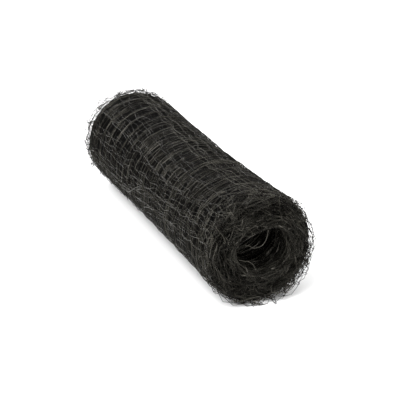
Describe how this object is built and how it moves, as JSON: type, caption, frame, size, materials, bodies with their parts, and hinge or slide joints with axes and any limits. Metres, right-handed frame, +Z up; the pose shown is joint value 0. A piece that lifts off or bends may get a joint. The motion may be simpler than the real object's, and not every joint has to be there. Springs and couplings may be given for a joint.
{
  "type": "bird netting roll",
  "caption": "Roll of black extruded plastic bird netting, folded across its width and wound on itself round an open bore, with loose looped ends.",
  "frame": {"origin": "on the floor under the middle of the roll, where it lies on its side", "axes": "+X along the roll, +Z up, +Y across the roll; the end nearest the camera in the picture is at +X"},
  "size_m": [0.4, 0.1152, 0.1152],
  "materials": {
    "netting_plastic": "black extruded polypropylene, slightly waxy sheen"
  },
  "bodies": {
    "root": {"netting_roll": "netting_plastic"}
  },
  "joints": []
}
